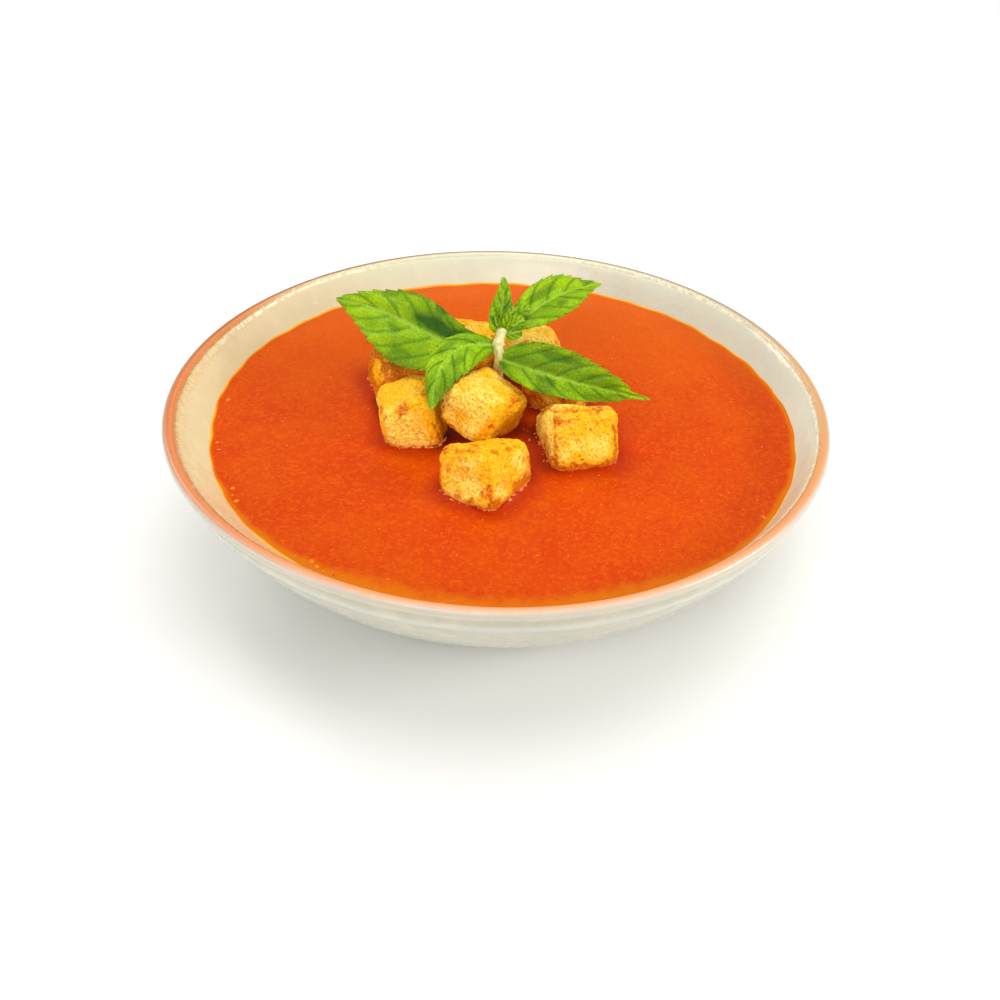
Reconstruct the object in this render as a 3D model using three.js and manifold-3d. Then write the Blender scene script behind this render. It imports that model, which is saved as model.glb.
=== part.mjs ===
// Tomato soup in a wide, shallow stoneware bowl, topped with croutons and a sprig of mint.
// Millimetres, +Z up. The origin is the middle of the foot ring, on the table.
// +X is to the diner's right and +Y is away from the diner.

import * as THREE from 'three';
import { mergeVertices } from 'three/addons/utils/BufferGeometryUtils.js';
import Module from 'manifold-3d';

const wasm = await Module();
wasm.setup();

// Bowl
const RIM_RADIUS = 100;         // outer edge of the lip
const RIM_HEIGHT = 46;          // top of the lip above the table
const LIP_ROUND = 1.8;          // radius of the rounded lip, half the wall there
const GROOVE_DEPTH = 0.5;       // shallow hollow that the potter leaves under the lip
const GROOVE_DROP = 5;          // from the rim down to the middle of that hollow
const WALL_THICKNESS = 5.7;
const LIP_TAPER = 4;            // height over which the wall thins towards the lip
const BASE_RADIUS = 40;         // where the outer curve runs into the flat base
const BASE_HEIGHT = 4;          // underside of the wall above the table
const CURVE_ACROSS = 2.6;       // super-ellipse exponents of the outer wall
const CURVE_DOWN = 1.2;
const FOOT_RADIUS = 46;
const FOOT_WIDTH = 4;
const FOOT_RECESS = 3.2;        // the base inside the foot ring stays this far off the table
const FOOT_EDGE = 0.8;
const ROUND_STEPS = 60;
const WALL_STEPS = 8;
const LIP_STEPS = 3;

// Soup
const SOUP_LEVEL = 37;
const SEAT_GAP = 0.3;           // between two pieces that touch

// Croutons: cubes of fried bread with worn edges
const CROUTON_EDGE = 4;
const CROUTON_LUMP = 0.45;      // height of the swellings on the faces
const CROUTON_STEPS = 5;

// Mint
const LEAF_THICKNESS = 0.9;
const LEAF_STEPS = 10;          // from stalk to tip
const LEAF_SIDE_STEPS = 4;      // from edge to edge
const LEAF_END_WIDTH = 0.7;     // half width left at the two ends of a leaf
const STEM_RADIUS = 1.3;
const STEM_STEPS = 10;
const STEM_SIDES = 8;

// Middle, edge lengths, turn about Z, and tilts about X and Y in degrees.
const CROUTONS = [
  { name: 'crouton_front', at: [-3.7, -31.9, 39.1], size: [22.4, 19.3, 18.9], turn: 53, tilt: [-20, 21] },
  { name: 'crouton_right', at: [23.5, -11.2, 40], size: [22, 22.8, 19.2], turn: 23, tilt: [-34, 5] },
  { name: 'crouton_left', at: [-27, -3.1, 40.3], size: [16, 23, 19.9], turn: 5, tilt: [-6, -24] },
  { name: 'crouton_centre', at: [-4.9, -3.9, 46.4], size: [20.1, 22.8, 16.5], turn: -33, tilt: [-13, 17] },
  { name: 'crouton_back_left', at: [-31, 20, 39.5], size: [19, 19, 18], turn: 20, tilt: [8, 6] },
  { name: 'crouton_back', at: [-11.8, 36, 40.3], size: [19, 19, 18], turn: -20, tilt: [10, -5] },
  { name: 'crouton_back_right', at: [9, 35, 40.5], size: [16.5, 18, 19], turn: 12, tilt: [-8, 6] },
  { name: 'crouton_right_back', at: [18, 14.4, 41.8], size: [19, 18, 20], turn: -28, tilt: [12, 4] },
];

// Each leaf has its midrib from stalk to tip, the way its upper face looks, the widths left and
// right of the midrib, the two exponents of its outline, and how far the halves fold up.
const LEAVES = [
  { rib: [[-1.6, 10.2, 58.8], [-25.8, 1.5, 61.8], [-26, 24, 61.8], [-54, 38.2, 57.8]],
    face: [-0.05, -0.8, 0.6], left: 12.9, right: 9.4, outline: [1, 0.9], fold: 0.12 },
  { rib: [[-1.6, 10.2, 58.8], [-16.2, 4.4, 64.6], [-19.7, -6.8, 62.1], [-20.5, -14.3, 50.5]],
    face: [-0.2, -0.7, 0.7], left: 7.7, right: 4.7, outline: [0.73, 1.05], fold: -0.1 },
  { rib: [[-0.2, 14.4, 61.3], [-2, 14.8, 65.8], [1.1, 18.7, 70.8], [-0.4, 22.5, 75.8]],
    face: [0, -0.9, 0.43], left: 3.2, right: 3.2, outline: [0.45, 0.7], fold: 0.25 },
  { rib: [[0.4, 12.6, 61.3], [11.9, 25.8, 65.8], [18.4, 33.3, 66.8], [31.4, 44.4, 62.8]],
    face: [0.1, -0.6, 0.8], left: 5.5, right: 6.3, outline: [0.8, 0.75], fold: 0.2 },
  { rib: [[-0.5, 6.8, 56.3], [15.9, -5.5, 56.9], [26.3, -5.4, 54.8], [45.1, -4, 50]],
    face: [0.05, -0.75, 0.66], left: 8.9, right: 5.4, outline: [0.5, 1.15], fold: 0.15 },
];

const STEM = [[-1.5, 12, 43], [-1, 10.4, 50], [-0.6, 7.6, 56], [-1.2, 10, 58.8], [-0.1, 14.2, 62]];

const FINISHES = {
  bowl: { color: 0xeadfc4, roughness: 0.25, metalness: 0 },
  soup: { color: 0xe8561a, roughness: 0.3, metalness: 0 },
  crouton: { color: 0xe6ad3c, roughness: 0.8, metalness: 0 },
  mint: { color: 0x7fa52a, roughness: 0.5, metalness: 0 },
};

// ---- Between three.js geometry and exact solids ----

function toSolid(geometry) {
  const bare = geometry.clone();
  bare.deleteAttribute('normal');
  bare.deleteAttribute('uv');
  const merged = mergeVertices(bare, 1e-4);
  const corners = merged.index.array;
  const kept = [];
  for (let i = 0; i < corners.length; i += 3) {
    const [a, b, c] = [corners[i], corners[i + 1], corners[i + 2]];
    if (a !== b && b !== c && c !== a) {
      kept.push(a, b, c);
    }
  }
  return new wasm.Manifold(new wasm.Mesh({
    numProp: 3,
    vertProperties: new Float32Array(merged.attributes.position.array),
    triVerts: new Uint32Array(kept),
  }));
}

function toGeometry(solid) {
  const mesh = solid.getMesh();
  const positions = new THREE.BufferAttribute(new Float32Array(mesh.vertProperties), 3);
  const geometry = new THREE.BufferGeometry();
  geometry.setAttribute('position', positions);
  geometry.setIndex(new THREE.BufferAttribute(new Uint32Array(mesh.triVerts), 1));
  geometry.computeVertexNormals();
  return geometry;
}

// Moves every vertex of a geometry to where place(vertex) puts it.
function reshape(geometry, place) {
  const positions = geometry.attributes.position;
  const point = new THREE.Vector3();
  for (let i = 0; i < positions.count; i += 1) {
    const moved = place(point.fromBufferAttribute(positions, i));
    positions.setXYZ(i, moved.x, moved.y, moved.z);
  }
  return geometry;
}

// ---- Bowl and soup ----

// The outside of the wall in section: a quarter of a super-ellipse that drops steeply from
// under the lip at t = 0 and runs level into the base at t = 1.
function wallCurve(t) {
  const angle = (THREE.MathUtils.clamp(t, 0, 1) * Math.PI) / 2;
  const top = RIM_HEIGHT - LIP_ROUND;
  return new THREE.Vector2(
    BASE_RADIUS + (RIM_RADIUS - BASE_RADIUS) * Math.cos(angle) ** (2 / CURVE_ACROSS),
    top - (top - BASE_HEIGHT) * Math.sin(angle) ** (2 / CURVE_DOWN),
  );
}

function outerWall(t) {
  const point = wallCurve(t);
  const fromGroove = (RIM_HEIGHT - GROOVE_DROP - point.y) / 2;
  point.x -= GROOVE_DEPTH * Math.exp(-fromGroove * fromGroove);
  return point;
}

// The outer curve moved inwards, square to itself, by the wall's thickness and a further inset.
function innerWall(t, inset = 0) {
  const nearby = 0.01;
  const point = wallCurve(t);
  const along = wallCurve(t + nearby).sub(wallCurve(t - nearby)).normalize();
  const taper = Math.exp((point.y - RIM_HEIGHT + LIP_ROUND) / LIP_TAPER);
  const thickness = WALL_THICKNESS + (2 * LIP_ROUND - WALL_THICKNESS) * taper;
  return point.addScaledVector(new THREE.Vector2(along.y, -along.x), thickness + inset);
}

// Where on the inner wall the soup's surface meets it, found by halving the range.
let [aboveSoup, soupEdge] = [0, 1];
for (let i = 0; i < 40; i += 1) {
  const middle = (aboveSoup + soupEdge) / 2;
  if (innerWall(middle).y > SOUP_LEVEL) {
    aboveSoup = middle;
  } else {
    soupEdge = middle;
  }
}

// Numbers from start to end, closer together near both ends.
function bunched(start, end, count) {
  return Array.from({ length: count + 1 }, (_, i) => (
    THREE.MathUtils.lerp(start, end, (1 - Math.cos((i / count) * Math.PI)) / 2)
  ));
}

// Turns a section, listed from the axis below round to the axis above, into a solid.
function turned(section) {
  return toSolid(new THREE.LatheGeometry(section, ROUND_STEPS).rotateX(Math.PI / 2));
}

function bowlSolid() {
  const footInside = FOOT_RADIUS - FOOT_WIDTH;
  const foot = [
    [0, FOOT_RECESS], [footInside, FOOT_RECESS], [footInside + FOOT_EDGE, 0],
    [FOOT_RADIUS - FOOT_EDGE, 0], [FOOT_RADIUS, FOOT_EDGE],
  ].map(([radius, height]) => new THREE.Vector2(radius, height));
  const outside = bunched(1, 0, WALL_STEPS).map(outerWall).filter(({ x }) => x > FOOT_RADIUS);
  const lip = [45, 90, 135].map(THREE.MathUtils.degToRad).map((angle) => new THREE.Vector2(
    RIM_RADIUS - LIP_ROUND + LIP_ROUND * Math.cos(angle),
    RIM_HEIGHT - LIP_ROUND + LIP_ROUND * Math.sin(angle),
  ));
  const inside = [...bunched(0, soupEdge, LIP_STEPS), ...bunched(soupEdge, 1, WALL_STEPS).slice(1)]
    .map((t) => innerWall(t));
  const middle = new THREE.Vector2(0, inside.at(-1).y);
  return turned([...foot, ...outside, ...lip, ...inside, middle]);
}

function soupSolid(sockets) {
  const side = bunched(1, soupEdge, WALL_STEPS).map((t) => innerWall(t, SEAT_GAP));
  const floor = new THREE.Vector2(0, side[0].y);
  side.at(-1).y = SOUP_LEVEL;
  const middle = new THREE.Vector2(0, SOUP_LEVEL);
  return sockets.reduce((soup, socket) => soup.subtract(socket), turned([floor, ...side, middle]));
}

// ---- Croutons ----

function croutonSolid({ at, size, turn, tilt }, order, grown = 0) {
  const half = new THREE.Vector3(...size).multiplyScalar(0.5).addScalar(grown);
  const flat = half.clone().subScalar(CROUTON_EDGE + grown);
  const cube = new THREE.BoxGeometry(
    2 * half.x, 2 * half.y, 2 * half.z, CROUTON_STEPS, CROUTON_STEPS, CROUTON_STEPS,
  );
  reshape(cube, (point) => {
    const core = point.clone().clamp(flat.clone().negate(), flat);
    const out = point.clone().sub(core).normalize();
    const lump = Math.sin(point.x / 4 + 2 * order) + Math.cos(point.y / 5 + 3 * order)
      + Math.sin(point.z / 3 + order);
    return core.addScaledVector(out, CROUTON_EDGE + grown + (CROUTON_LUMP * lump) / 3);
  });
  const [tiltX, tiltY] = tilt.map(THREE.MathUtils.degToRad);
  const turning = new THREE.Euler(tiltX, tiltY, THREE.MathUtils.degToRad(turn), 'ZYX');
  cube.applyMatrix4(new THREE.Matrix4().makeRotationFromEuler(turning));
  return toSolid(cube.translate(...at));
}

// ---- Mint sprig ----

function leafSolid({ rib, face, left, right, outline, fold }) {
  const midrib = new THREE.CubicBezierCurve3(...rib.map((p) => new THREE.Vector3(...p)));
  const [rise, fall] = outline;
  const fullest = rise / (rise + fall);
  const breadth = (u) => (u / fullest) ** rise * ((1 - u) / (1 - fullest)) ** fall;
  const blade = new THREE.BoxGeometry(1, 2, LEAF_THICKNESS, LEAF_STEPS, LEAF_SIDE_STEPS, 1);
  reshape(blade, ({ x, y, z }) => {
    const u = x + 0.5;
    const along = midrib.getTangent(u);
    const side = new THREE.Vector3(...face).cross(along).normalize();
    const up = along.cross(side);
    const reach = y * (LEAF_END_WIDTH + (y > 0 ? left : right) * breadth(u));
    return midrib.getPoint(u).addScaledVector(side, reach)
      .addScaledVector(up, fold * Math.abs(reach) + z);
  });
  return toSolid(blade);
}

function sprigSolid() {
  const ring = new THREE.Shape().absarc(0, 0, STEM_RADIUS, 0, 2 * Math.PI, false);
  const path = new THREE.CatmullRomCurve3(STEM.map((p) => new THREE.Vector3(...p)));
  const stem = toSolid(new THREE.ExtrudeGeometry(ring, {
    extrudePath: path, steps: STEM_STEPS, curveSegments: STEM_SIDES,
  }));
  return LEAVES.reduce((sprig, leaf) => sprig.add(leafSolid(leaf)), stem);
}

// ---- The bowl of soup ----

function piece(name, solid, finish) {
  const mesh = new THREE.Mesh(toGeometry(solid), new THREE.MeshStandardMaterial(finish));
  mesh.name = name;
  return mesh;
}

const sockets = CROUTONS.map((crouton, i) => croutonSolid(crouton, i, SEAT_GAP));
const soupBowl = new THREE.Group();
soupBowl.add(piece('bowl', bowlSolid(), FINISHES.bowl));
soupBowl.add(piece('soup', soupSolid(sockets), FINISHES.soup));
CROUTONS.forEach((crouton, i) => {
  soupBowl.add(piece(crouton.name, croutonSolid(crouton, i), FINISHES.crouton));
});
soupBowl.add(piece('mint_sprig', sprigSolid(), FINISHES.mint));

export default soupBowl;
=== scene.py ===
"""Tomato soup in its stoneware bowl, with croutons and a sprig of mint.

Metres, +Z up, origin under the middle of the bowl. +X is the diner's right and +Y is away.
"""
import math

import bpy
import numpy as np
from mathutils import Matrix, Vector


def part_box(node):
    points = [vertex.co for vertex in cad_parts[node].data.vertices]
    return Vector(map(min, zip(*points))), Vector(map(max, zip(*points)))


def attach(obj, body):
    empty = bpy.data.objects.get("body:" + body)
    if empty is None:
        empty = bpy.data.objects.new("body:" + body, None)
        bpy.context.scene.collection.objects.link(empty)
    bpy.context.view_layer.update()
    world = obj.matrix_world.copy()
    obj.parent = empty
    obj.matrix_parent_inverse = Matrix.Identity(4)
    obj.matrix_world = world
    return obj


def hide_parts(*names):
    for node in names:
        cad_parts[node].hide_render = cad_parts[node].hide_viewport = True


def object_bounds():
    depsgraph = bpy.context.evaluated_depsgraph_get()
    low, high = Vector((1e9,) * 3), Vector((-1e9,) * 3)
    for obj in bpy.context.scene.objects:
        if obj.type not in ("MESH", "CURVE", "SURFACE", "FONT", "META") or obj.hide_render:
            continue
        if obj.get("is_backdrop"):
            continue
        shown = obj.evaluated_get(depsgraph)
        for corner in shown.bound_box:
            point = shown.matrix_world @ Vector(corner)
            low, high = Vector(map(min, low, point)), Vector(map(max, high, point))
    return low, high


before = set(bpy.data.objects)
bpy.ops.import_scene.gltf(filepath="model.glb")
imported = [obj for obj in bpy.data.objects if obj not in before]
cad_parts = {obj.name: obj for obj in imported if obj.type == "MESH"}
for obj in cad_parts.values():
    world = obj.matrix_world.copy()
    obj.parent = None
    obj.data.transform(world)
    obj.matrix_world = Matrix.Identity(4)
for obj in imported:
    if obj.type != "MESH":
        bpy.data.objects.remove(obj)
cad_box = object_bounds()
MM = 0.001


# ---- Camera ----
# A portrait lens a forearm away, looking down into the bowl from the diner's side. It is held
# a little crooked and aimed a little below the middle of the rim.
rim_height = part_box("bowl")[1].z
LOOK_DOWN = math.radians(32.631)
AIM_LOWER = math.radians(3.948)
AIM_RIGHT = math.radians(0.099)
CROOKED = math.radians(1.749)
DISTANCE = 450 * MM
LENS_MM = 52.74


def turn_towards(first, second, angle):
    """The first direction turned by the angle towards the second, and the second with it:
    cos * first + sin * second, and cos * second - sin * first."""
    return (math.cos(angle) * first + math.sin(angle) * second,
            math.cos(angle) * second - math.sin(angle) * first)


right = np.array([1.0, 0, 0])
ahead = np.array([0, math.cos(LOOK_DOWN), -math.sin(LOOK_DOWN)])
above = np.cross(right, ahead)
eye = np.array([0, 0, rim_height]) - DISTANCE * ahead
ahead, above = turn_towards(ahead, above, -AIM_LOWER)
ahead, right = turn_towards(ahead, right, AIM_RIGHT)
right, above = turn_towards(right, above, CROOKED)

camera = bpy.data.objects.new("camera", bpy.data.cameras.new("camera"))
camera.data.lens = LENS_MM
camera.data.clip_start = 10 * MM
placing = np.eye(4)
placing[:3] = np.column_stack([right, above, -ahead, eye])
camera.matrix_world = Matrix(placing.tolist())
bpy.context.scene.collection.objects.link(camera)
bpy.context.scene.camera = camera


# ---- Floor and light ----
# A pale studio floor in even light from above and from the diner's side, with a window-like panel
# behind at the left and a strip lamp at the right for the gloss.
bpy.context.scene.view_settings.view_transform = "Standard"

FLOOR_SIZE = 30.0
floor_mesh = bpy.data.meshes.new("floor")
corners = [(x * FLOOR_SIZE / 2, y * FLOOR_SIZE / 2, 0) for x, y in ((-1, -1), (1, -1), (1, 1), (-1, 1))]
floor_mesh.from_pydata(corners, [], [(0, 1, 2, 3)])
floor = bpy.data.objects.new("floor", floor_mesh)
bpy.context.scene.collection.objects.link(floor)
floor_paint = bpy.data.materials.new("pale_floor")
floor_paint.use_nodes = True
floor_shader = floor_paint.node_tree.nodes["Principled BSDF"]
floor_shader.inputs["Base Color"].default_value = (0.9, 0.9, 0.89, 1)
floor_shader.inputs["Roughness"].default_value = 0.6
floor_mesh.materials.append(floor_paint)
floor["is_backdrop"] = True


def lamp_at(name, kind, place, watts, colour, size=None, spread=0):
    """A lamp at a place, facing the middle of the bowl: a rectangle of the given size, or far-off
    light of the given spread in degrees."""
    lamp = bpy.data.lights.new(name, kind)
    lamp.energy = watts
    lamp.color = colour
    if kind == "AREA":
        lamp.shape = "RECTANGLE"
        lamp.size, lamp.size_y = size
    else:
        lamp.angle = math.radians(spread)
    holder = bpy.data.objects.new(name, lamp)
    facing = np.array([0, 0, rim_height]) - np.array(place)
    facing /= np.linalg.norm(facing)
    across = np.cross(facing, [0, 1, 0.01])
    across /= np.linalg.norm(across)
    matrix = np.eye(4)
    matrix[:3] = np.column_stack([across, np.cross(-facing, across), -facing, place])
    holder.matrix_world = Matrix(matrix.tolist())
    bpy.context.scene.collection.objects.link(holder)


lamp_at("overhead", "SUN", (0.1, 0.2, 0.9), 1.42, (1, 0.98, 0.95), spread=55)
lamp_at("front_fill", "SUN", (-0.25, -0.8, 0.6), 1.1, (0.98, 0.99, 1), spread=35)
lamp_at("back_left", "AREA", (-0.5, 0.5, 0.55), 1.6, (1, 0.97, 0.92), size=(0.3, 0.2))
lamp_at("right_strip", "AREA", (0.75, -0.2, 0.33), 3.4, (1, 0.98, 0.95), size=(0.12, 0.45))
lamp_at("left_strip", "AREA", (-0.75, -0.4, 0.22), 1.5, (0.88, 0.95, 1), size=(0.1, 0.5))
world = bpy.data.worlds.new("studio")
world.use_nodes = True
backdrop = world.node_tree.nodes["Background"]
backdrop.inputs["Color"].default_value = (1, 1, 1, 1)
ray = world.node_tree.nodes.new("ShaderNodeLightPath")
brighter_seen = world.node_tree.nodes.new("ShaderNodeMapRange")
brighter_seen.inputs["To Min"].default_value = 0.36
brighter_seen.inputs["To Max"].default_value = 0.83
world.node_tree.links.new(ray.outputs["Is Camera Ray"], brighter_seen.inputs["Value"])
world.node_tree.links.new(brighter_seen.outputs["Result"], backdrop.inputs["Strength"])
bpy.context.scene.world = world


# ---- Bowl ----
# One piece of wheel-thrown stoneware under a thick cream glaze. The glaze breaks to bare
# terracotta on the inside of the lip, where it has run and left short feathered streaks, and a
# shallow hollow runs round the outside under the lip.
RIM_RADIUS = 100 * MM
LIP_ROUND = 1.8 * MM
GROOVE_DEPTH = 0.5 * MM
GROOVE_DROP = 5 * MM
LEDGE_DROP = 9.8 * MM
LEDGE_DEPTH = 0.35 * MM
WALL_THICKNESS = 5.7 * MM
LIP_TAPER = 4 * MM
BASE_RADIUS = 40 * MM
BASE_HEIGHT = 4 * MM
FOOT_RADIUS = 46 * MM
FOOT_WIDTH = 4 * MM
FOOT_RECESS = 3.2 * MM
FOOT_EDGE = 0.8 * MM
OUTSIDE_ROWS = 110
LIP_ROWS = 15
INSIDE_ROWS = 60


def wall_curve(t):
    """Radius and height of the wall's outside: a quarter of a super-ellipse with exponents 2.6
    and 1.2, from under the lip at t = 0 to the base at t = 1."""
    angle = np.clip(t, 0, 1) * math.pi / 2
    top = rim_height - LIP_ROUND
    return np.stack([BASE_RADIUS + (RIM_RADIUS - BASE_RADIUS) * np.cos(angle).clip(0) ** (2 / 2.6),
                     top - (top - BASE_HEIGHT) * np.sin(angle) ** (2 / 1.2)], axis=-1)


def ease(value, low, high):
    """0 below low, 1 above high and 3t^2 - 2t^3 between."""
    t = np.clip((value - low) / (high - low), 0, 1)
    return t * t * (3 - 2 * t)


def outer_wall(t):
    """The wall's outside with a bell-shaped hollow of GROOVE_DEPTH under the lip, and a soft
    ledge left by the potter's finger lower down."""
    curve = wall_curve(t)
    hollow = np.exp(-((rim_height - GROOVE_DROP - curve[:, 1]) / (2 * MM)) ** 2)
    ledge = ease(rim_height - curve[:, 1], LEDGE_DROP - 0.8 * MM, LEDGE_DROP + 0.8 * MM)
    curve[:, 0] -= GROOVE_DEPTH * hollow + LEDGE_DEPTH * ledge * ease(curve[:, 1], 0, 20 * MM)
    return curve


def inner_wall(t, inset=0.0):
    """The outside moved inwards, square to itself, by a thickness that thins exponentially
    towards the lip, and by a further inset."""
    curve = wall_curve(t)
    along = wall_curve(t + 0.01) - wall_curve(t - 0.01)
    along /= np.linalg.norm(along, axis=1, keepdims=True)
    taper = np.exp((curve[:, 1] - rim_height + LIP_ROUND) / LIP_TAPER)
    thickness = WALL_THICKNESS + (2 * LIP_ROUND - WALL_THICKNESS) * taper + inset
    return curve + np.stack([along[:, 1], -along[:, 0]], axis=-1) * thickness[:, None]


def bunched(start, end, count):
    """Numbers from start to end on half a cosine, closer together near both ends."""
    return start + (end - start) * (1 - np.cos(np.linspace(0, math.pi, count))) / 2


def build_piece(name, points, faces, numbers=None):
    """A smooth mesh piece from points and arrays of faces, with one number for each point under
    each name in numbers."""
    mesh = bpy.data.meshes.new(name)
    mesh.from_pydata(np.asarray(points).tolist(), [], [f for part in faces for f in part.tolist()])
    mesh.polygons.foreach_set("use_smooth", np.ones(len(mesh.polygons), bool))
    for label, values in (numbers or {}).items():
        kind, field = ("FLOAT", "value") if np.ndim(values) == 1 else ("FLOAT_VECTOR", "vector")
        layer = mesh.attributes.new(label, kind, "POINT")
        layer.data.foreach_set(field, np.ascontiguousarray(values, np.float32).ravel())
    mesh.update()
    piece = bpy.data.objects.new(name, mesh)
    bpy.context.scene.collection.objects.link(piece)
    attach(piece, "root")
    return piece


def ring_faces(rows, around, first=0):
    """Quads between rows of points that each close on themselves, facing outwards when the rows
    climb the outside."""
    row = np.arange(rows - 1)[:, None] * around + first
    column = np.arange(around)[None, :]
    after = (column + 1) % around
    return np.stack([row + column, row + after, row + around + after, row + around + column],
                    axis=-1).reshape(-1, 4)


def fan_faces(ring_start, around, pole, upwards):
    """Triangles from a closed row of points to one pole on the axis."""
    column = np.arange(around)
    after = (column + 1) % around
    edge = (column, after) if upwards else (after, column)
    return np.stack([ring_start + edge[0], ring_start + edge[1],
                     np.full(around, pole)], axis=-1)


def closed_faces(rows, around):
    """Faces of a stack of closed rows of points, shut at both ends by the two poles that follow."""
    return [ring_faces(rows, around), fan_faces(0, around, rows * around, upwards=False),
            fan_faces((rows - 1) * around, around, rows * around + 1, upwards=True)]


def revolve(radius, height):
    """Points and faces of rows turned about Z, with a pole added below and above on the axis.
    The radius and height of each row are arrays with one value for each step around."""
    rows, around = radius.shape
    angle = np.linspace(0, 2 * math.pi, around, endpoint=False)
    rings = np.stack([radius * np.cos(angle), radius * np.sin(angle), height], axis=-1)
    poles = [[0, 0, height[0].mean()], [0, 0, height[-1].mean()]]
    return np.concatenate([rings.reshape(-1, 3), poles]), closed_faces(rows, around)


NOISE_TABLE = 4096


def table_place(at):
    """A place in the table for each corner of a lattice, by mixing its three whole numbers."""
    mixed = (at[..., 0] * 73856093) ^ (at[..., 1] * 19349663) ^ (at[..., 2] * 83492791)
    return mixed % NOISE_TABLE


def lattice_noise(points, cell, seed):
    """Smooth noise from -1 to 1: a seeded random number at each corner of a lattice of the cell's
    size, blended inside each cube by the fade 6t^5 - 15t^4 + 10t^3."""
    table = np.random.default_rng(seed).uniform(-1, 1, NOISE_TABLE)
    scaled = points / cell
    base = np.floor(scaled).astype(np.int64)
    part = scaled - base
    fade = part ** 3 * (part * (6 * part - 15) + 10)
    total = np.zeros(points.shape[:-1])
    for corner in np.ndindex(2, 2, 2):
        share = np.prod(np.where(corner, fade, 1 - fade), axis=-1)
        total += share * table[table_place(base + corner)]
    return total


foot_inside = FOOT_RADIUS - FOOT_WIDTH
foot = np.array([(4 * MM, FOOT_RECESS), (foot_inside - 1 * MM, FOOT_RECESS),
                 (foot_inside, FOOT_RECESS - 0.4 * MM), (foot_inside + 0.1 * MM, FOOT_EDGE),
                 (foot_inside + 0.4 * MM, 0.15 * MM), (foot_inside + FOOT_EDGE, 0),
                 (FOOT_RADIUS - FOOT_EDGE, 0), (FOOT_RADIUS - 0.2 * MM, 0.2 * MM),
                 (FOOT_RADIUS, FOOT_EDGE), (FOOT_RADIUS, 2.6 * MM), (FOOT_RADIUS + 0.2 * MM, 3.6 * MM)])
outside = outer_wall(bunched(1, 0, OUTSIDE_ROWS))
outside = outside[outside[:, 0] > FOOT_RADIUS + 1.2 * MM]
lip_angle = np.linspace(0, math.pi, LIP_ROWS)[1:-1]
lip = np.stack([RIM_RADIUS - LIP_ROUND + LIP_ROUND * np.cos(lip_angle),
                rim_height - LIP_ROUND + LIP_ROUND * np.sin(lip_angle)], axis=-1)
inside = inner_wall(bunched(0, 1, INSIDE_ROWS))
profile = np.concatenate([foot, outside, lip, inside, [[3 * MM, inside[-1, 1]]]])

BOWL_AROUND = 288
SPREAD_LEFT = 2.1 * MM
CROWD_LEFT = 2.2 * MM
LEFT_AT = math.radians(192)
LEFT_REACH = math.radians(42)


def uneven(radius, angle, height, inner):
    """Radius pushed out of round as thrown by hand: slow waves of 2 and 5 lobes, and a bell-shaped
    bulge at the left where the lip leans out and the inside wall below it stays thick."""
    waves = 1 + 0.0012 * np.sin(2 * angle + 0.6) + 0.0006 * np.sin(5 * angle + 2)
    leftness = np.exp(-((np.mod(angle, 2 * math.pi) - LEFT_AT) / LEFT_REACH) ** 2)
    lean = SPREAD_LEFT * np.clip(height / rim_height, 0, 1) ** 2
    near_lip = np.clip((height - 0.8 * rim_height) / (0.2 * rim_height), 0, 1)
    crowd = np.where(inner, lean * near_lip - CROWD_LEFT * (1 - near_lip), lean)
    return radius * waves + leftness * crowd


bowl_angle = np.linspace(0, 2 * math.pi, BOWL_AROUND, endpoint=False)
is_inside = np.arange(len(profile)) >= len(foot) + len(outside) + len(lip)
radii = uneven(profile[:, :1], bowl_angle[None, :], profile[:, 1:], is_inside[:, None])
points, faces = revolve(radii * np.ones((1, BOWL_AROUND)),
                        np.repeat(profile[:, 1:], BOWL_AROUND, axis=1))


def round_the_rim(angle, *stops):
    """A value that runs smoothly from stop to stop of (degrees, value) and round to the first."""
    degrees = np.array([stop[0] for stop in stops], float)
    values = np.array([stop[1] for stop in stops], float)
    turned_by = np.mod(np.degrees(angle) - degrees[0], 360)
    marks = np.append(np.mod(degrees - degrees[0], 360), 360)
    k = np.clip(np.searchsorted(marks, turned_by, side="right") - 1, 0, len(stops) - 1)
    t = (turned_by - marks[k]) / (marks[k + 1] - marks[k])
    return values[k] + (np.append(values, values[0])[k + 1] - values[k]) * t * t * (3 - 2 * t)


gone = np.concatenate([[0], np.cumsum(np.linalg.norm(np.diff(profile, axis=0), axis=1))])
crest = gone[len(foot) + len(outside) + len(lip) // 2]
from_lip = np.append(np.repeat(gone - crest, BOWL_AROUND), [-crest, gone[-1] - crest])
radial = np.hypot(points[:, 0], points[:, 1]).clip(1 * MM)
around = np.stack([points[:, 0] / radial, points[:, 1] / radial, from_lip * 4], axis=-1)
turn_at = np.mod(np.arctan2(points[:, 1], points[:, 0]), 2 * math.pi)
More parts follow.
